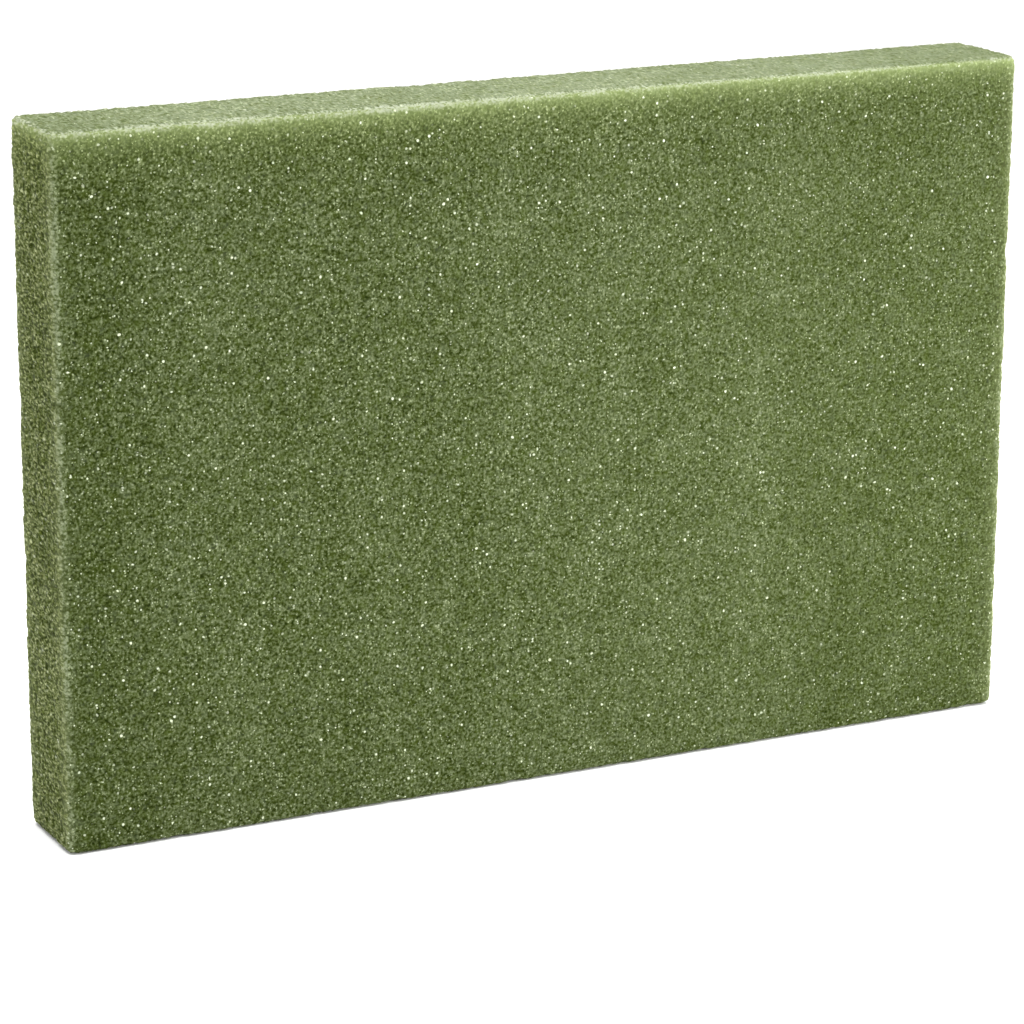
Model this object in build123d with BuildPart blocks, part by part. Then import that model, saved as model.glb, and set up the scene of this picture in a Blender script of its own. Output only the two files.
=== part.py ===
from build123d import *
import os

# Rigid floral foam slab, standing on one long edge.
# Millimetres, +Z up, origin in the middle of the edge it stands on.
# X runs along the length, Y through the thickness, the front broad face looks to -Y.

length = 454.0       # long side of the broad face
height = 302.0       # short side of the broad face, upright here
thickness = 46.0     # front broad face to back broad face

corner_radius = 3.0  # the four edges that run up and down
edge_radius = 2.5    # worn rounding along the top and bottom rims

with BuildPart() as foam_slab:
    with BuildSketch(Plane.XY):
        RectangleRounded(length, thickness, corner_radius)
    extrude(amount=height)
    rims = foam_slab.faces().sort_by(Axis.Z)
    fillet(rims[0].edges() + rims[-1].edges(), radius=edge_radius)

foam_slab.part.label = "foam_slab"

os.makedirs("parts", exist_ok=True)
export_step(foam_slab.part, "parts/foam_slab.step")
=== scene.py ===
"""A slab of rigid floral foam, standing on its long edge in a bright studio.

The slab is one closed mesh. Its skin is cut foam: every point of the mesh sits at
its own small depth, the rims are rounded, and a procedural finish gives the cells,
painted glints on cut cell walls under a glossy coat, paler rims with wear and a painted
highlight along the top one, a painted sheen on the top, and a painted glow near the
rims that stands in for light through the foam.
"""

import logging
import math
from dataclasses import dataclass
from enum import Enum
from typing import Any, Union

import bpy
import numpy as np
from mathutils import Matrix, Vector


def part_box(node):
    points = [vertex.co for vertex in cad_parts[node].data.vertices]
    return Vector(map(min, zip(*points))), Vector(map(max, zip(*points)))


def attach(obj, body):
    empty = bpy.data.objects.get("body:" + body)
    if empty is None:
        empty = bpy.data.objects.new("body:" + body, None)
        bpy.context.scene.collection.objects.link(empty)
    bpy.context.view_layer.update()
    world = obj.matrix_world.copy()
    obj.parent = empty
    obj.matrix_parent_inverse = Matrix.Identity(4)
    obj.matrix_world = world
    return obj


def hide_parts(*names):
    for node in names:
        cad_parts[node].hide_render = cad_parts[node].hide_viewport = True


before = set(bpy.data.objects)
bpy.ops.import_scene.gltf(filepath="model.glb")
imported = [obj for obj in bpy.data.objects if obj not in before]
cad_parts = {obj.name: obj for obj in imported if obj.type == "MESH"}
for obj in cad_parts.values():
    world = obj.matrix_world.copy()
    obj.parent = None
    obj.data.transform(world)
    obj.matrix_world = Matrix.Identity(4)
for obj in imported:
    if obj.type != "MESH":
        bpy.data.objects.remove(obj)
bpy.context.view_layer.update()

log = logging.getLogger("foam")

Colour = tuple[float, float, float, float]
Triple = tuple[float, float, float]
Socket = bpy.types.NodeSocket
Operand = Union["Value", float]

MM = 0.001


# ---------------------------------------------------------------- shader maths


class Value:
    """A number that changes over a surface, used with ordinary operators."""

    def __init__(self, bench: "Bench", socket: Socket) -> None:
        """Wraps one output socket.

        Args:
            bench: the bench whose nodes the expression adds to.
            socket: the output that carries the number.
        """
        self.bench = bench
        self.socket = socket

    def __add__(self, other: Operand) -> "Value":
        """self + other."""
        return self.bench.maths("ADD", self, other)

    def __radd__(self, other: Operand) -> "Value":
        """other + self."""
        return self.bench.maths("ADD", other, self)

    def __sub__(self, other: Operand) -> "Value":
        """self - other."""
        return self.bench.maths("SUBTRACT", self, other)

    def __rsub__(self, other: Operand) -> "Value":
        """other - self."""
        return self.bench.maths("SUBTRACT", other, self)

    def __mul__(self, other: Operand) -> "Value":
        """self * other."""
        return self.bench.maths("MULTIPLY", self, other)

    def __rmul__(self, other: Operand) -> "Value":
        """other * self."""
        return self.bench.maths("MULTIPLY", other, self)

    def __truediv__(self, other: Operand) -> "Value":
        """self / other."""
        return self.bench.maths("DIVIDE", self, other)

    def __rtruediv__(self, other: Operand) -> "Value":
        """other / self."""
        return self.bench.maths("DIVIDE", other, self)

    def __pow__(self, other: Operand) -> "Value":
        """self to the power other."""
        return self.bench.maths("POWER", self, other)

    def __rpow__(self, other: Operand) -> "Value":
        """other to the power self."""
        return self.bench.maths("POWER", other, self)

    def __abs__(self) -> "Value":
        """The size of self."""
        return self.bench.maths("ABSOLUTE", self)

    def least(self, other: Operand) -> "Value":
        """The smaller of self and other."""
        return self.bench.maths("MINIMUM", self, other)

    def most(self, other: Operand) -> "Value":
        """The larger of self and other."""
        return self.bench.maths("MAXIMUM", self, other)

    def step(self, low: float, high: float) -> "Value":
        """A smooth step from 0 at low to 1 at high.

        Args:
            low: where the step starts.
            high: where the step ends.

        Returns:
            The stepped value, between 0 and 1.
        """
        return self.bench.value(
            "ShaderNodeMapRange",
            {"interpolation_type": "SMOOTHSTEP"},
            {"Value": self, "From Min": low, "From Max": high},
        )

    def fade(self, depth: Operand) -> "Value":
        """Falls off from 1 where self is 0, e times smaller with each depth.

        Args:
            depth: how far one such fall takes.

        Returns:
            The falling value.
        """
        return math.e ** (0.0 - self / depth)


class Bench:
    """Lays out the nodes of one material."""

    def __init__(self, material: bpy.types.Material) -> None:
        """Clears the material's nodes.

        Args:
            material: the material to lay out.
        """
        material.use_nodes = True
        self.tree = material.node_tree
        self.tree.nodes.clear()

    def node(
        self,
        kind: str,
        settings: dict[str, Any] | None = None,
        inputs: dict[str | int, Any] | None = None,
    ) -> bpy.types.Node:
        """Adds one node.

        Args:
            kind: the node's type name.
            settings: its settings, set before its sockets. "stops" is a ramp's list of
                (position, colour) pairs.
            inputs: values or links for its sockets, by name or number.

        Returns:
            The node.
        """
        node = self.tree.nodes.new(kind)
        for name, setting in (settings or {}).items():
            if name == "stops":
                self._set_stops(node.color_ramp, setting)
            else:
                setattr(node, name, setting)
        for key, given in (inputs or {}).items():
            if isinstance(given, Value):
                given = given.socket
            if isinstance(given, Socket):
                self.tree.links.new(given, node.inputs[key])
            else:
                node.inputs[key].default_value = given
        return node

    @staticmethod
    def _set_stops(ramp: bpy.types.ColorRamp, stops: list[tuple[float, Colour]]) -> None:
        """Gives a ramp its stops.

        Args:
            ramp: the ramp to fill.
            stops: (position, colour) pairs in rising order.
        """
        while len(ramp.elements) < len(stops):
            ramp.elements.new(1.0)
        for element, (position, colour) in zip(ramp.elements, stops):
            element.position = position
            element.color = colour

    def value(
        self,
        kind: str,
        settings: dict[str, Any] | None = None,
        inputs: dict[str | int, Any] | None = None,
    ) -> Value:
        """Adds one node and wraps its first output as a number.

        Args:
            kind: the node's type name.
            settings: as in node.
            inputs: as in node.

        Returns:
            The wrapped output.
        """
        return Value(self, self.node(kind, settings, inputs).outputs[0])

    def maths(self, operation: str, *operands: Operand) -> Value:
        """Adds one Math node.

        Args:
            operation: the node's operation.
            *operands: its inputs in order.

        Returns:
            The result.
        """
        return self.value("ShaderNodeMath", {"operation": operation}, dict(enumerate(operands)))

    def noise(self, place: Socket, scale: float, detail: float = 1.0) -> Value:
        """Adds smooth noise.

        Args:
            place: the position.
            scale: how many blobs there are to one unit of the position.
            detail: how many finer layers it has.

        Returns:
            The noise, about 0.5 on average.
        """
        return self.value("ShaderNodeTexNoise", None, {"Vector": place, "Scale": scale, "Detail": detail})

    def blend(self, factor: Operand, first: Any, second: Any, mode: str = "MIX") -> Socket:
        """Mixes two colours.

        Args:
            factor: 0 gives the first colour and 1 the second.
            first: a colour or a colour socket.
            second: a colour or a colour socket.
            mode: the Mix node's blend type.

        Returns:
            The mixed colour's socket.
        """
        settings = {"data_type": "RGBA", "blend_type": mode, "clamp_factor": True}
        return self.node("ShaderNodeMix", settings, {0: factor, 6: first, 7: second}).outputs[2]

    def stretched(self, place: Socket, factors: Triple) -> Socket:
        """Multiplies a position by one factor per axis.

        Args:
            place: the position's socket.
            factors: one factor for each of X, Y and Z.

        Returns:
            The stretched position's socket.
        """
        node = self.node("ShaderNodeVectorMath", {"operation": "MULTIPLY"}, {0: place, 1: factors})
        return node.outputs[0]


# -------------------------------------------------------------------- finishes


@dataclass(frozen=True)
class Zones:
    """What part of the slab a point of its skin belongs to.

    Args:
        on_end: 1 on a cut end, 0 away from it.
        on_top: 1 on the top, 0 below it.
        calm: 0 at the left, 1 towards the right, where the cells show less.
        middle: 1 half way along the slab, 0 at its ends.
        inner: how strongly specks and rings show.
        rim_top: the distance from the top rim, in metres.
        rim_side: the distance from the nearest upright rim, in metres.
        worn_and_highlight_top: 1 on the top rim, paler partly from wear and partly from a painted
            highlight, 0 away from it.
        pale_upright_rims: 1 on an upright rim, which is made paler, 0 away from it.
        painted_rim_glow: how strongly a glow is painted under the top rim, standing in for light through
            the foam.
    """

    on_end: Value
    on_top: Value
    calm: Value
    middle: Value
    inner: Value
    rim_top: Value
    rim_side: Value
    worn_and_highlight_top: Value
    pale_upright_rims: Value
    painted_rim_glow: Value


@dataclass(frozen=True)
class Spread:
    """A number that differs between the parts of the slab.

    Args:
        front: its value at the left of the broad faces.
        end: what it gains on a cut end.
        top: what it gains on the top.
        right: what it gains towards the right.
    """

    front: float
    end: float = 0.0
    top: float = 0.0
    right: float = 0.0

    def over(self, zones: Zones) -> Operand:
        """Spreads the number over the slab.

        Args:
            zones: the parts of the slab.

        Returns:
            The number at each point of the skin.
        """
        total: Operand = self.front
        for gain, zone in ((self.end, zones.on_end), (self.top, zones.on_top), (self.right, zones.calm)):
            if gain:
                total = total + gain * zone
        return total


@dataclass(frozen=True)
class Speckle:
    """Scattered bright spots.

    Args:
        size: the distance between them, in metres.
        rare: the share of places that stay dark.
        smallest: the smallest radius, as a share of the size.
        largest: the largest radius, as a share of the size.
        core: how many times a spot is brightened before it's cut off at 1.
    """

    size: float
    rare: float
    smallest: float
    largest: float
    core: float = 2.2

    def over(self, bench: Bench, run: Socket) -> Value:
        """Scatters the spots.

        Args:
            bench: the bench to build on.
            run: the position, drawn out along the cells.

        Returns:
            Each spot's brightness, 0 between them.
        """
        spots = bench.node("ShaderNodeTexVoronoi", None, {"Vector": run, "Scale": 1.0 / self.size})
        draws = bench.node("ShaderNodeSeparateColor", None, {0: spots.outputs["Color"]})
        chance = Value(bench, draws.outputs[0])
        radius = self.smallest + (self.largest - self.smallest) * Value(bench, draws.outputs[1])
        near = (1.0 - Value(bench, spots.outputs["Distance"]) / radius).most(0.0)
        bright = ((chance - self.rare) / (1.0 - self.rare)).most(0.0)
        return (near * self.core).least(1.0) * bright


@dataclass(frozen=True)
class Paints:
    """The foam's colours, and the tints that multiply them. Some are painted light, as marked."""

    hollow: Colour = (0.011, 0.017, 0.002, 1.0)
    shade: Colour = (0.031, 0.044, 0.008, 1.0)
    wall: Colour = (0.070, 0.089, 0.032, 1.0)
    crown: Colour = (0.131, 0.156, 0.080, 1.0)
    crest: Colour = (0.245, 0.283, 0.160, 1.0)
    dusty: Colour = (0.127, 0.152, 0.093, 1.0)
    leafy: Colour = (0.068, 0.097, 0.015, 1.0)
    # A painted glint: the light caught by cut cell walls, laid into the colour.
    painted_glint: Colour = (0.560, 0.610, 0.430, 1.0)
    # Partly wear and partly a painted highlight, along the top rim.
    worn_and_painted_highlight: Colour = (0.290, 0.312, 0.238, 1.0)
    # A paler colour for the upright rims.
    pale_upright: Colour = (0.222, 0.256, 0.158, 1.0)
    # A painted glow under the top rim, then a painted glow near the other rims, both standing in for light
    # through the foam.
    painted_glow: Colour = (0.330, 0.406, 0.170, 1.0)
    painted_thin_glow: Colour = (0.205, 0.237, 0.110, 1.0)
    end_tint: Colour = (1.50, 1.40, 1.32, 1.0)
    # A painted sheen: the top is paler and bluer where light grazes it.
    painted_top_sheen: Colour = (1.00, 0.99, 1.10, 1.0)
    # A painted glow: a stronger green under the top rim, standing in for light through the foam.
    painted_lush_glow: Colour = (1.00, 1.05, 0.62, 1.0)

    def stops(self) -> list[tuple[float, Colour]]:
        """The ramp from the deepest hollow to the highest wall.

        Returns:
            Pairs of a tone and its colour, in rising order.
        """
        steps = [self.hollow, self.shade, self.wall, self.crown, self.crest]
        return [(number / (len(steps) - 1), step) for number, step in enumerate(steps)]


@dataclass(frozen=True)
class Cells:
    """What the parts of the foam's finish share.

    Args:
        bench: the bench to build on.
        run: the position, drawn out along the cells and bent.
        grain: the noise of the cells.
        patches: a slower noise, about two centimetres across.
        bands: a still slower noise, drawn out into faint upright bands.
        zones: the parts of the slab.
    """

    bench: Bench
    run: Socket
    grain: Value
    patches: Value
    bands: Value
    zones: Zones


@dataclass(frozen=True)
class FoamFinish:
    """Green extruded foam with cut cells, and painted glints on them.

    Lengths are in metres. A lift or a swing is a step in tone, where 0 is the deepest
    hollow and 1 the highest wall. A share is how much of a colour is laid on.
    """

    half_size: Triple
    centre: Triple
    paints: Paints = Paints()

    # The cells: their size, how they are drawn out through the slab, and how far and
    # how often they bend, counted in cells.
    cell: float = 1.15 * MM
    cell_run: Triple = (1.0, 0.46, 1.0)
    cell_run_top: Triple = (1.0, 0.36, 1.0)
    bend: float = 0.8
    bends_per_cell: float = 0.6
    # The tone's gain on the top is a painted sheen, for light that grazes the top.
    tone: Spread = Spread(0.308, top=0.285, right=0.01)
    swing: Spread = Spread(1.58, end=0.9, top=-0.6, right=-0.33)

    # Crowded areas, haze and the breaks in the rings, all counted in cells. The noise
    # of the haze is dusty where it is high and leafy where it is low.
    crowd: float = 3.6
    crowd_swing: float = 0.9
    haze: float = 2.7
    dusty_from: float = 0.52
    dusty_to: float = 0.75
    dusty_share: float = 0.16
    leafy_from: float = 0.48
    leafy_to: float = 0.25
    leafy_share: float = 0.22
    ring_break: float = 2.3

    # Slow changes over the whole slab. The bands are counted per metre through and up.
    band_width: float = 62.0 * MM
    bands_through: float = 4.0
    bands_upward: float = 2.4
    patches_per_metre: float = 55.0
    slow_swing: float = 0.18
    middle_lift: float = 0.10

    # Specks, flecks and rings. The flecks are painted glints, which also get a glossy coat.
    fine: Speckle = Speckle(size=1.265 * MM, rare=0.26, smallest=0.25, largest=0.46)
    fine_lift: float = 1.3
    fine_crowd: float = 2.0
    smudges: Speckle = Speckle(size=11.0 * MM, rare=0.5, smallest=0.10, largest=0.25)
    smudge_lift: float = 0.16
    ring: float = 3.4 * MM
    ring_line: float = 0.13
    ring_from: float = 0.48
    ring_to: float = 0.62
    ring_lift: float = 0.2
    glint_flecks: Speckle = Speckle(size=1.7 * MM, rare=0.82, smallest=0.24, largest=0.46)
    fleck_curve: float = 1.5
    fleck_gain: float = 1.30

    # How deep the look of the ends and the top reaches. Where the calmer right begins
    # and is full, in half lengths from the middle. How much each hushes the specks.
    skin_full: float = 0.4 * MM
    skin_none: float = 1.8 * MM
    calm_from: float = -0.5
    calm_to: float = 0.8
    end_hush: float = 0.9
    top_hush: float = 0.75
    calm_hush: float = 0.32

    # The rims: paler on top from wear and a painted highlight, paler at the sides, and with a
    # painted glow where the foam is thin. Their paleness is counted in rim widths, and thin and lush
    # depths in glow depths.
    rim_width: float = 2.6 * MM
    rim_full: float = 0.3
    worn_and_highlight_none: float = 1.1
    pale_upright_none: float = 1.9
    worn_and_highlight_left: float = 1.35
    worn_and_highlight_narrowing: float = 0.45
    worn_and_highlight_lift: float = 0.18
    worn_and_highlight_share: float = 0.38
    worn_and_highlight_most: float = 0.8
    pale_upright_lift: float = 0.30
    pale_upright_share: float = 0.15
    pale_upright_most: float = 0.6
    rim_patchiness: float = 1.6
    rim_graininess: float = 3.0
    painted_glow_depth: float = 4.3 * MM
    painted_glow_lift: float = 0.14
    painted_glow_share: float = 0.6
    painted_thin_glow_depth: Spread = Spread(0.55, end=0.7, right=0.4)
    painted_thin_glow_share: Spread = Spread(0.20, end=0.3, right=0.2)
    lush_depth: float = 2.4
    lush_hush: float = 0.6

    # The surface itself. Light soaks into it, and blue light least deeply.
    roughness: float = 0.5
    shine: float = 0.01
    fleck_roughness: float = 0.3
    bump_strength: float = 0.5
    bump_depth: float = 0.5 * MM
    soak: float = 0.35
    soak_depth: float = 4.0 * MM
    soak_colour: Triple = (1.0, 1.0, 0.55)

    def material(self) -> bpy.types.Material:
        """Builds the finish.

        Returns:
            The material.
        """
        made = bpy.data.materials.new("foam_cut_cells")
        bench = Bench(made)
        cells = self._cells(bench)
        tone = self._tone(cells)
        foam = bench.node("ShaderNodeValToRGB", {"stops": self.paints.stops()}, {0: tone}).outputs[0]
        foam = self._tinted(cells, foam)
        foam = self._painted_glow(cells, foam)
        foam = self._paled_rims(cells, foam)
        # The flecks are painted glints: they lighten the colour towards the glint colour, and they also
        # get a glossy coat.
        glint_flecks = self.glint_flecks.over(bench, cells.run) ** self.fleck_curve
        painted_glints_and_coat = (glint_flecks * self.fleck_gain * cells.zones.inner).least(1.0)
        bump = bench.node(
            "ShaderNodeBump",
            None,
            {"Strength": self.bump_strength, "Distance": self.bump_depth, "Height": cells.grain},
        )
        surface = bench.node(
            "ShaderNodeBsdfPrincipled",
            None,
            {
                "Base Color": bench.blend(painted_glints_and_coat, foam, self.paints.painted_glint),
                "Roughness": self.roughness,
                "Specular IOR Level": self.shine,
                "Coat Weight": painted_glints_and_coat,
                "Coat Roughness": self.fleck_roughness,
                "Normal": bump.outputs[0],
                "Subsurface Weight": self.soak,
                "Subsurface Radius": self.soak_colour,
                "Subsurface Scale": self.soak_depth,
            },
        )
        bench.node("ShaderNodeOutputMaterial", None, {"Surface": surface.outputs[0]})
        return made

    def _cells(self, bench: Bench) -> Cells:
        """Lays out the noise that the cells are made of.

        Args:
            bench: the bench to build on.

        Returns:
            What the parts of the finish share.
        """
        place = bench.node("ShaderNodeTexCoord").outputs["Object"]
        zones = self._zones(bench, place)
        run = bench.blend(
            zones.on_top,
            bench.stretched(place, self.cell_run),
            bench.stretched(place, self.cell_run_top),
        )
        bend_scale = self.bends_per_cell / self.cell
        bends = bench.node("ShaderNodeTexNoise", None, {"Vector": run, "Scale": bend_scale})
        run = bench.node(
            "ShaderNodeVectorMath",
            {"operation": "MULTIPLY_ADD"},
            {0: bends.outputs["Color"], 1: (self.bend * self.cell,) * 3, 2: run},
        ).outputs[0]
        banded = bench.stretched(place, (1.0 / self.band_width, self.bands_through, self.bands_upward))
        return Cells(
            bench,
            run,
            grain=bench.noise(run, 1.0 / self.cell),
            patches=bench.noise(place, self.patches_per_metre, detail=3.0),
            bands=bench.noise(banded, 1.0, detail=2.0),
            zones=zones,
        )

    def _zones(self, bench: Bench, place: Socket) -> Zones:
        """Works out what part of the slab a point belongs to.

        Args:
            bench: the bench to build on.
            place: the position.

        Returns:
            The parts of the slab.
        """
        parts = bench.node("ShaderNodeSeparateXYZ", None, {0: place})
        off_x, off_y, off_z = (
            Value(bench, parts.outputs[axis]) - self.centre[axis] for axis in range(3)
        )
        to_end = (self.half_size[0] - abs(off_x)).most(0.0)
        to_face = (self.half_size[1] - abs(off_y)).most(0.0)
        to_top = (self.half_size[2] - off_z).most(0.0)
        along = off_x / self.half_size[0]
        calm = along.step(self.calm_from, self.calm_to)
        on_end = 1.0 - to_end.step(self.skin_full, self.skin_none)
        on_top = 1.0 - to_top.step(self.skin_full, self.skin_none)
        rim_top = to_top.most(to_end.least(to_face))
        rim_side = to_end.most(to_face)
        full, worn_and_highlight_none, pale_upright_none = (
            share * self.rim_width for share in (self.rim_full, self.worn_and_highlight_none, self.pale_upright_none)
        )
        hush = (1.0 - self.end_hush * on_end) * (1.0 - self.top_hush * on_top)
        widening = self.worn_and_highlight_left - self.worn_and_highlight_narrowing * calm
        return Zones(
            on_end,
            on_top,
            calm,
            middle=1.0 - along * along,
            inner=hush * (1.0 - self.calm_hush * calm),
            rim_top=rim_top,
            rim_side=rim_side,
            worn_and_highlight_top=1.0 - (rim_top / widening).step(full, worn_and_highlight_none),
            pale_upright_rims=1.0 - rim_side.step(full, pale_upright_none),
            # A glow painted under the top rim, standing in for light through the foam.
            painted_rim_glow=rim_top.fade(self.painted_glow_depth) * (1.0 - on_top),
        )

    def _rings(self, cells: Cells) -> Value:
        """Broken outlines of the larger cut cells.

        Args:
            cells: what the parts of the finish share.

        Returns:
            1 on an outline, 0 between them.
        """
        edge = cells.bench.value(
            "ShaderNodeTexVoronoi",
            {"feature": "DISTANCE_TO_EDGE"},
            {"Vector": cells.run, "Scale": 1.0 / self.ring},
        )
        kept = cells.bench.noise(cells.run, 1.0 / (self.ring_break * self.cell))
        return (1.0 - edge / self.ring_line).most(0.0) * kept.step(self.ring_from, self.ring_to)

    def _tone(self, cells: Cells) -> Value:
        """How light the foam is, lifted on the top as a painted sheen, under the top rim as a painted
        glow, and on the top rim partly as a painted highlight.

        Args:
            cells: what the parts of the finish share.

        Returns:
            The tone, from 0 in the deepest hollow to 1 on the highest wall.
        """
        bench, run, zones = cells.bench, cells.run, cells.zones
        crowd = bench.noise(run, 1.0 / (self.crowd * self.cell)) - 0.5
        fine = self.fine.over(bench, run)
        swing = self.swing.over(zones) + self.crowd_swing * crowd
        slow = (cells.bands - 0.5) + (cells.patches - 0.5)
        specks = fine * fine * (self.fine_lift + self.fine_crowd * crowd)
        specks += self._rings(cells) * self.ring_lift
        specks += self.smudges.over(bench, run) * self.smudge_lift
        tone = self.tone.over(zones) + swing * (cells.grain - 0.5) + self.slow_swing * slow
        # A painted glow lifts the tone under the top rim.
        tone += self.middle_lift * zones.middle + specks * zones.inner + self.painted_glow_lift * zones.painted_rim_glow
        tone += self.pale_upright_lift * zones.pale_upright_rims * (1.0 - zones.on_top)
        # The top rim is lighter partly from wear and partly from a painted highlight.
        return tone + self.worn_and_highlight_lift * zones.worn_and_highlight_top

    def _tinted(self, cells: Cells, foam: Socket) -> Socket:
        """Lays haze over the cells, tints the ends, and paints a pale sheen on the top.

        Args:
            cells: what the parts of the finish share.
            foam: the foam's colour so far.

        Returns:
            The colour with them.
        """
        bench, zones, paints = cells.bench, cells.zones, self.paints
        haze = bench.noise(cells.run, 1.0 / (self.haze * self.cell))
        dusty = haze.step(self.dusty_from, self.dusty_to)
        leafy = 1.0 - haze.step(self.leafy_to, self.leafy_from)
        foam = bench.blend(self.dusty_share * dusty, foam, paints.dusty)
        foam = bench.blend(self.leafy_share * leafy, foam, paints.leafy)
        foam = bench.blend(zones.on_end, foam, paints.end_tint, "MULTIPLY")
        # The top's tint is a painted sheen.
        return bench.blend(zones.on_top, foam, paints.painted_top_sheen, "MULTIPLY")

    def _painted_glow(self, cells: Cells, foam: Socket) -> Socket:
        """Paints a glow near the rims, standing in for light through the foam, with a stronger green under
        the top one.

        Args:
            cells: what the parts of the finish share.
            foam: the foam's colour so far.

        Returns:
            The colour with the painted glow.
        """
        bench, zones, paints = cells.bench, cells.zones, self.paints
        # A painted glow: greener under the top rim, paler near the other rims, brightest just under the
        # top rim.
        lush = zones.rim_top.fade(self.lush_depth * self.painted_glow_depth)
        lush = lush * (1.0 - zones.on_top) * (1.0 - self.lush_hush * zones.calm)
        foam = bench.blend(lush * (1.0 - zones.painted_rim_glow), foam, paints.painted_lush_glow, "MULTIPLY")
        thin = zones.rim_side.fade(self.painted_glow_depth * self.painted_thin_glow_depth.over(zones))
        foam = bench.blend(self.painted_thin_glow_share.over(zones) * thin, foam, paints.painted_thin_glow)
        return bench.blend(self.painted_glow_share * zones.painted_rim_glow, foam, paints.painted_glow)

    def _paled_rims(self, cells: Cells, foam: Socket) -> Socket:
        """Makes the rims paler, more in some patches than in others: the top rim partly from wear and
        partly as a painted highlight, the upright rims with a plain paler band.

        Args:
            cells: what the parts of the finish share.
            foam: the foam's colour so far.

        Returns:
            The colour with the paler rims.
        """
        bench, zones, paints = cells.bench, cells.zones, self.paints
        uneven = self.rim_patchiness * (cells.patches - 0.5) + self.rim_graininess * (cells.grain - 0.5)
        # The upright rims are made paler.
        side = (zones.pale_upright_rims * (self.pale_upright_share + uneven)).most(0.0)
        # The top rim's paleness is partly wear and partly a painted highlight.
        top = (zones.worn_and_highlight_top * (self.worn_and_highlight_share + uneven)).most(0.0)
        foam = bench.blend(side.least(self.pale_upright_most), foam, paints.pale_upright)
        return bench.blend(top.least(self.worn_and_highlight_most), foam, paints.worn_and_painted_highlight)


@dataclass(frozen=True)
class FloorFinish:
    """A plain, very pale, matt studio sweep."""

    colour: Colour = (0.96, 0.96, 0.96, 1.0)
    roughness: float = 0.9
    shine: float = 0.1

    def material(self) -> bpy.types.Material:
        """Builds the finish.

        Returns:
            The material.
        """
        made = bpy.data.materials.new("pale_floor")
        bench = Bench(made)
        surface = bench.node(
            "ShaderNodeBsdfPrincipled",
            None,
            {"Base Color": self.colour, "Roughness": self.roughness, "Specular IOR Level": self.shine},
        )
        bench.node("ShaderNodeOutputMaterial", None, {"Surface": surface.outputs[0]})
        return made


# ------------------------------------------------------------------- the slab


class Side(Enum):
    """A side of the slab: the axis that it faces along, and which end of it."""

    LEFT_END = (0, 0)
    RIGHT_END = (0, 1)
    FRONT = (1, 0)
    BACK = (1, 1)
    BASE = (2, 0)
    TOP = (2, 1)


class SmoothNoise:
    """Seeded random values on a cubic grid, with smooth values in between."""

    def __init__(self, seed: int, size: float, grid: int = 64) -> None:
        """Draws the grid.

        Args:
            seed: the seed of the random values.
            size: the distance between grid points, in metres.
            grid: how many grid points before the values repeat.
        """
        self.size = size
        self.grid = grid
        self.values = np.random.default_rng(seed).uniform(-1.0, 1.0, (grid, grid, grid))

    def at(self, points: np.ndarray) -> np.ndarray:
        """Reads the noise.

        Args:
            points: positions in metres, one to a row.

        Returns:
            One value from -1 to 1 for each position.
        """
        scaled = points / self.size
        whole = np.floor(scaled).astype(int)
        part = scaled - whole
        part = part * part * (3.0 - 2.0 * part)
        total = np.zeros(len(points))
        for corner in np.ndindex(2, 2, 2):
            picked = (whole + corner) % self.grid
            weight = np.prod(np.where(corner, part, 1.0 - part), axis=1)
            total += weight * self.values[picked[:, 0], picked[:, 1], picked[:, 2]]
        return total


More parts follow.
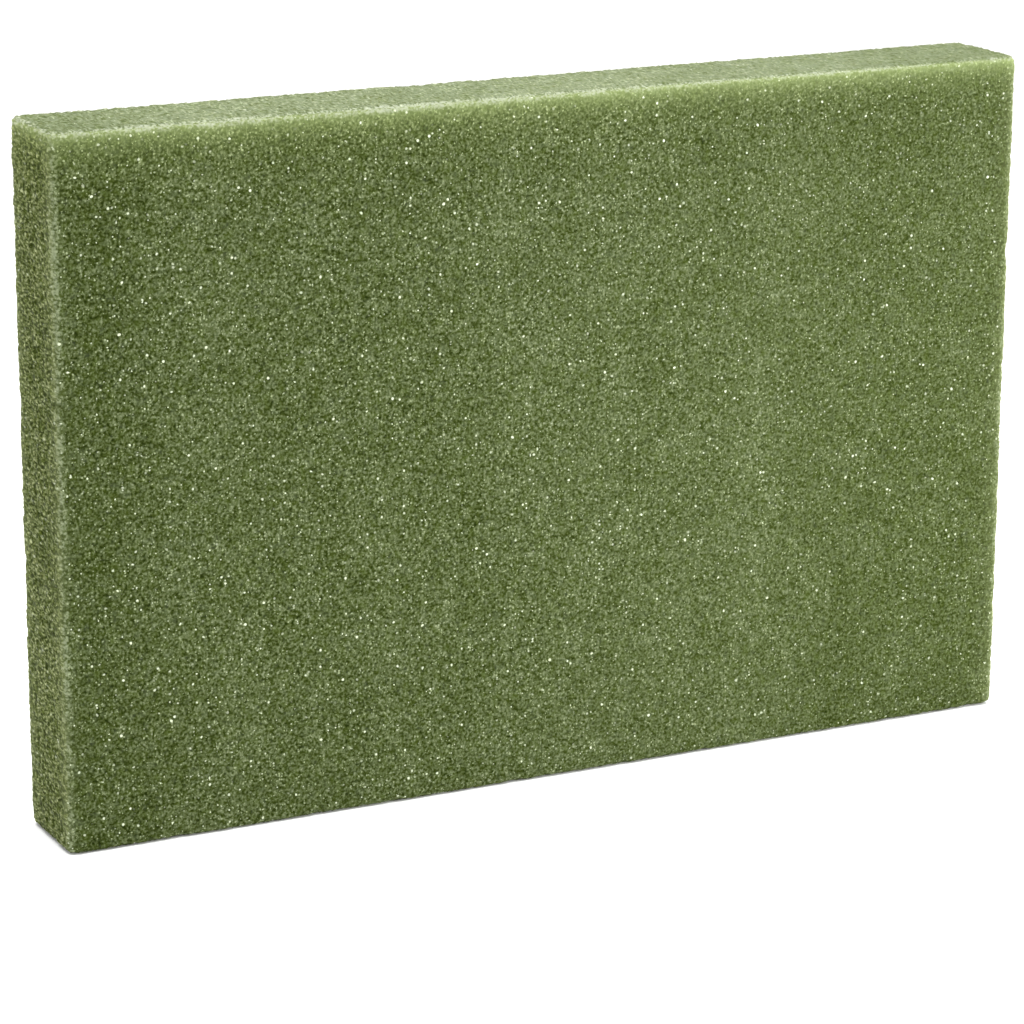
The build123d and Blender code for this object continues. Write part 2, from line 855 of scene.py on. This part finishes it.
@dataclass
class FoamSlab:
    """The slab, as one closed mesh.

    Lengths are in metres. A triple has one number for each of X, Y and Z.
    """

    low: Vector
    high: Vector

    # The grid that is laid over a block with rounded rims. Each point is shuffled along
    # it by up to a share of the room that it has.
    pitch: float = 1.2 * MM
    rounding: float = 2.8 * MM
    arc_steps: int = 3
    shuffle: float = 0.33

    # How deep the cells are cut on the sides that face along X, Y and Z. A higher bias
    # makes deep ones rarer. Lumps are lower by a share on the top and the base.
    cell_depth: Triple = (0.75 * MM, 0.42 * MM, 0.58 * MM)
    depth_bias: float = 1.4
    lump: float = 0.34 * MM
    lump_size: float = 4.6 * MM
    flattening: float = 0.5
    wave: float = 0.22 * MM
    wave_size: float = 38.0 * MM

    # How far uncut foam would stand out of the CAD's slab, so that the cut skin lies
    # about as far out as the CAD's does.
    proud: float = 0.5 * MM

    # Dents along the rims, and the shares of them on rims that run along X, Y and Z.
    nicks: int = 90
    nick_shares: Triple = (0.55, 0.1, 0.35)
    nick_radius: tuple[float, float] = (2.0 * MM, 5.0 * MM)
    nick_depth: tuple[float, float] = (0.25 * MM, 0.8 * MM)

    seed: int = 7

    def __post_init__(self) -> None:
        """Works out the half sizes, the centre and the grid lines."""
        self.half = np.array(self.high - self.low) / 2.0
        self.centre = np.array(self.high + self.low) / 2.0
        self.lines = [self._stations(half) for half in self.half]
        self.counts = [len(line) - 1 for line in self.lines]

    def _stations(self, half: float) -> np.ndarray:
        """Places the grid lines along one axis.

        Args:
            half: half the slab's size along it.

        Returns:
            The lines' places, closer together over the rounded rims.
        """
        flat = half - self.rounding
        steps = max(2, round(2.0 * flat / self.pitch))
        inside = np.linspace(-flat, flat, steps + 1)
        rim = np.linspace(flat, half, self.arc_steps + 1)[1:]
        return np.concatenate([-rim[::-1], inside, rim])

    def _cells_of(self, side: Side) -> np.ndarray:
        """The grid cells of one side.

        Args:
            side: the side.

        Returns:
            The number of each cell's four corners, turning outwards.
        """
        axis, end = side.value
        across, along = (axis + 1) % 3, (axis + 2) % 3
        rows, columns = np.meshgrid(
            np.arange(self.counts[across] + 1), np.arange(self.counts[along] + 1), indexing="ij"
        )
        places = [None, None, None]
        places[axis] = np.full_like(rows, end * self.counts[axis])
        places[across] = rows
        places[along] = columns
        numbers = self._number(*places)
        corners = [numbers[:-1, :-1], numbers[1:, :-1], numbers[1:, 1:], numbers[:-1, 1:]]
        if end == 0:
            corners.reverse()
        return np.stack([corner.ravel() for corner in corners], axis=1)

    def _number(self, x: np.ndarray, y: np.ndarray, z: np.ndarray) -> np.ndarray:
        """Gives a grid point its number.

        Args:
            x: the point's line along X.
            y: the point's line along Y.
            z: the point's line along Z.

        Returns:
            The number.
        """
        return x + (self.counts[0] + 1) * (y + (self.counts[1] + 1) * z)

    def _skin(self, draw: np.random.Generator) -> tuple[np.ndarray, np.ndarray]:
        """Lays the grid over all six sides and cuts each cell into two triangles.

        Args:
            draw: the source of random numbers.

        Returns:
            The line numbers of every point, and the triangles.
        """
        cells = np.concatenate([self._cells_of(side) for side in Side])
        used, cells = np.unique(cells, return_inverse=True)
        cells = cells.reshape(-1, 4)
        turned = draw.random(len(cells)) < 0.5
        cells[turned] = np.roll(cells[turned], 1, axis=1)
        triangles = np.concatenate([cells[:, [0, 1, 2]], cells[:, [0, 2, 3]]])
        wide, deep = self.counts[0] + 1, self.counts[1] + 1
        lines = np.stack([used % wide, used // wide % deep, used // (wide * deep)], axis=1)
        return lines, triangles

    def _rounded(self, lines: np.ndarray, draw: np.random.Generator) -> tuple[np.ndarray, np.ndarray]:
        """Puts every point on the rounded block.

        Args:
            lines: the line numbers of every point.
            draw: the source of random numbers.

        Returns:
            The points about the slab's centre, and the way out of the foam at each.
        """
        block = np.empty(lines.shape)
        for axis in range(3):
            line = self.lines[axis]
            picked = lines[:, axis]
            inside = (picked > 0) & (picked < self.counts[axis])
            room = np.minimum(np.diff(line, prepend=line[0] - 1), np.diff(line, append=line[-1] + 1))
            moved = draw.uniform(-self.shuffle, self.shuffle, len(picked)) * room[picked]
            block[:, axis] = line[picked] + np.where(inside, moved, 0.0)
        core = np.clip(block, self.rounding - self.half, self.half - self.rounding)
        outward = block - core
        outward /= np.linalg.norm(outward, axis=1, keepdims=True)
        return core + self.rounding * outward, outward

    def _relief(self, points: np.ndarray, outward: np.ndarray, draw: np.random.Generator) -> np.ndarray:
        """How deep each point is cut into the foam, dents and all.

        Args:
            points: the points about the slab's centre.
            outward: the way out of the foam at each.
            draw: the source of random numbers.

        Returns:
            The depths, none below zero.
        """
        facing = outward * outward
        cut = facing @ np.array(self.cell_depth) * draw.random(len(points)) ** self.depth_bias
        lumps = 1.0 + SmoothNoise(self.seed + 1, self.lump_size).at(points)
        waves = 1.0 + SmoothNoise(self.seed + 2, self.wave_size).at(points)
        cut += self.lump * (1.0 - self.flattening * facing[:, 2]) * lumps
        cut += self.wave * waves / 2.0
        return cut + self._nicked(points, draw)

    def _nicked(self, points: np.ndarray, draw: np.random.Generator) -> np.ndarray:
        """Small dents where the rims have been knocked.

        Args:
            points: the points about the slab's centre.
            draw: the source of random numbers.

        Returns:
            The dents' depth at each point.
        """
        dents = np.zeros(len(points))
        for _ in range(self.nicks):
            free = draw.choice(3, p=self.nick_shares)
            spot = np.where(draw.random(3) < 0.5, -1.0, 1.0) * self.half
            spot[free] *= draw.random()
            radius = draw.uniform(*self.nick_radius)
            deep = draw.uniform(*self.nick_depth)
            near = np.clip(1.0 - np.linalg.norm(points - spot, axis=1) / radius, 0.0, 1.0)
            dents = np.maximum(dents, deep * np.sqrt(near))
        return dents

    def build(self) -> bpy.types.Object:
        """Builds the mesh.

        Returns:
            The slab's object.
        """
        draw = np.random.default_rng(self.seed)
        lines, triangles = self._skin(draw)
        points, outward = self._rounded(lines, draw)
        points = points - outward * (self._relief(points, outward, draw) - self.proud)[:, None]
        points[:, 2] -= points[:, 2].min() + self.half[2]
        points += self.centre
        mesh = bpy.data.meshes.new("foam_slab_cut")
        mesh.from_pydata(points.tolist(), [], triangles.tolist())
        mesh.polygons.foreach_set("use_smooth", np.ones(len(triangles), dtype=bool))
        mesh.update()
        piece = bpy.data.objects.new("foam_slab_cut", mesh)
        bpy.context.scene.collection.objects.link(piece)
        return piece

    def dress(self, piece: bpy.types.Object) -> None:
        """Gives the slab its finish and its place in the frame.

        Args:
            piece: the slab's object.
        """
        finish = FoamFinish(tuple(self.half + self.proud), tuple(self.centre))
        piece.data.materials.append(finish.material())
        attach(piece, "root")
        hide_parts("foam_slab")


# ----------------------------------------------------------------- the studio


@dataclass(frozen=True)
class Softbox:
    """One soft light that faces the slab. Lengths are in metres.

    Args:
        name: the light's name.
        offset: where it hangs, from the slab's middle.
        width: its width.
        height: its height.
        power: its power in watts.
    """

    name: str
    offset: Triple
    width: float
    height: float
    power: float

    def hang(self, middle: Vector) -> None:
        """Hangs the light.

        Args:
            middle: the slab's middle.
        """
        lamp = bpy.data.lights.new(self.name, "AREA")
        lamp.shape = "RECTANGLE"
        lamp.size, lamp.size_y = self.width, self.height
        lamp.energy = self.power
        hung = bpy.data.objects.new(self.name, lamp)
        hung.location = middle + Vector(self.offset)
        hung.rotation_mode = "QUATERNION"
        hung.rotation_quaternion = Vector(self.offset).to_track_quat("Z", "Y")
        bpy.context.scene.collection.objects.link(hung)


@dataclass
class Studio:
    """A pale sweep, soft lights and the camera.

    Lengths are in metres and angles in degrees, the lens and sensor in millimetres.
    The camera's aim, from the middle of the slab's front, and its distance are counted
    in lengths of the slab.
    """

    low: Vector
    high: Vector
    floor_reach: float = 40.0
    sky_strength: float = 1.03
    softboxes: tuple[Softbox, ...] = (
        Softbox("overhead", offset=(0.0, -0.1, 1.3), width=1.6, height=1.2, power=34.0),
        Softbox("key", offset=(0.62, -0.62, 0.04), width=0.3, height=0.3, power=6.0),
    )
    azimuth: float = -26.71
    elevation: float = 15.71
    roll: float = 0.227
    lens: float = 135.7
    sensor: float = 36.0
    aim: Triple = (-0.0500, 0.0, -0.0614)
    distance: float = 3.635

    def __post_init__(self) -> None:
        """Works out the slab's length and the middle of its front."""
        self.length = self.high.x - self.low.x
        self.middle = (self.low + self.high) / 2.0

    def floor(self) -> bpy.types.Object:
        """Lays the floor.

        Returns:
            The floor's object.
        """
        reach = self.floor_reach
        corners = [(-reach, -reach, 0.0), (reach, -reach, 0.0), (reach, reach, 0.0), (-reach, reach, 0.0)]
        mesh = bpy.data.meshes.new("studio_floor")
        mesh.from_pydata(corners, [], [(0, 1, 2, 3)])
        floor = bpy.data.objects.new("studio_floor", mesh)
        bpy.context.scene.collection.objects.link(floor)
        mesh.materials.append(FloorFinish().material())
        return floor

    def sky(self) -> None:
        """Surrounds the slab with even white light."""
        world = bpy.data.worlds.new("studio_white")
        world.use_nodes = True
        background = world.node_tree.nodes["Background"]
        background.inputs["Color"].default_value = (1.0, 1.0, 1.0, 1.0)
        background.inputs["Strength"].default_value = self.sky_strength
        bpy.context.scene.world = world
        bpy.context.scene.view_settings.view_transform = "Standard"

    def lights(self) -> None:
        """Hangs the lights."""
        for softbox in self.softboxes:
            softbox.hang(self.middle)

    def camera(self) -> bpy.types.Object:
        """Sets the camera up.

        Returns:
            The camera's object.
        """
        turn, rise = math.radians(self.azimuth), math.radians(self.elevation)
        back = Vector((math.sin(turn) * math.cos(rise), -math.cos(turn) * math.cos(rise), math.sin(rise)))
        right = Vector((0.0, 0.0, 1.0)).cross(back).normalized()
        right = Matrix.Rotation(math.radians(self.roll), 3, back) @ right
        upward = back.cross(right)
        front = Vector((self.middle.x, self.low.y, self.middle.z))
        place = front + (Vector(self.aim) + back * self.distance) * self.length
        view = bpy.data.cameras.new("view")
        view.lens = self.lens
        view.sensor_width = self.sensor
        camera = bpy.data.objects.new("view", view)
        turned = Matrix((right, upward, back)).transposed().to_4x4()
        camera.matrix_world = Matrix.Translation(place) @ turned
        bpy.context.scene.collection.objects.link(camera)
        bpy.context.scene.camera = camera
        return camera


def main() -> None:
    """Builds the slab and the studio."""
    logging.basicConfig(level=logging.INFO, format="%(name)s: %(message)s")
    low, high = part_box("foam_slab")
    slab = FoamSlab(Vector(low), Vector(high))
    piece = slab.build()
    slab.dress(piece)
    log.info("%s: %d points, %d triangles", piece.name, len(piece.data.vertices), len(piece.data.polygons))
    studio = Studio(Vector(low), Vector(high))
    floor = studio.floor()
    studio.sky()
    studio.lights()
    camera = studio.camera()
    log.info("%s and %s in place", floor.name, camera.name)


if __name__ == "__main__":
    main()
